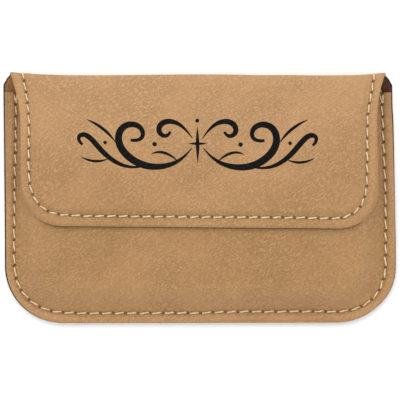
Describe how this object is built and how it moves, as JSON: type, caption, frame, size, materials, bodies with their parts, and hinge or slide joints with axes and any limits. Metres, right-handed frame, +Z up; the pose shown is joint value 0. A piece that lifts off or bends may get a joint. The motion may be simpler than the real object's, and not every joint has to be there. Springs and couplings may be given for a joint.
{
  "type": "business card case",
  "caption": "Flat leatherette business card case with a sewn, lined pocket and a magnetic fold-over flap.",
  "frame": {"origin": "middle of the face that the case lies on, below the middle of its outline", "axes": "+X across the case along the spine, +Y from the closed bottom edge to the spine, +Z up through the thickness, out of the flap"},
  "size_m": [0.108, 0.0698, 0.0107],
  "materials": {
    "leatherette": "fine grained, low sheen",
    "lining": "matt, woven",
    "board": "matt grey board",
    "magnet": "nickel plated",
    "thread": "twisted polyester"
  },
  "bodies": {
    "case_body": {"back_leather": "leatherette", "back_board": "board", "back_lining": "lining", "front_lining": "lining", "front_board": "board", "front_magnet": "magnet", "front_leather": "leatherette", "body_front_thread": "thread", "body_back_thread": "thread"},
    "spine": {"spine_leather": "leatherette", "spine_lining": "lining", "spine_outer_thread": "thread", "spine_inner_thread": "thread"},
    "flap": {"flap_leather": "leatherette", "flap_board": "board", "flap_magnet": "magnet", "flap_lining": "lining", "flap_top_thread": "thread", "flap_under_thread": "thread"}
  },
  "joints": [
    {"name": "spine_fold", "type": "hinge", "parent": "case_body", "child": "spine", "pos_m": [0, 0.03449, 0.00044], "axis": [-1, 0, 0], "range_deg": [0, 90]},
    {"name": "flap_fold", "type": "hinge", "parent": "spine", "child": "flap", "pos_m": [0, 0.03449, 0.00946], "axis": [-1, 0, 0], "range_deg": [0, 90]}
  ]
}
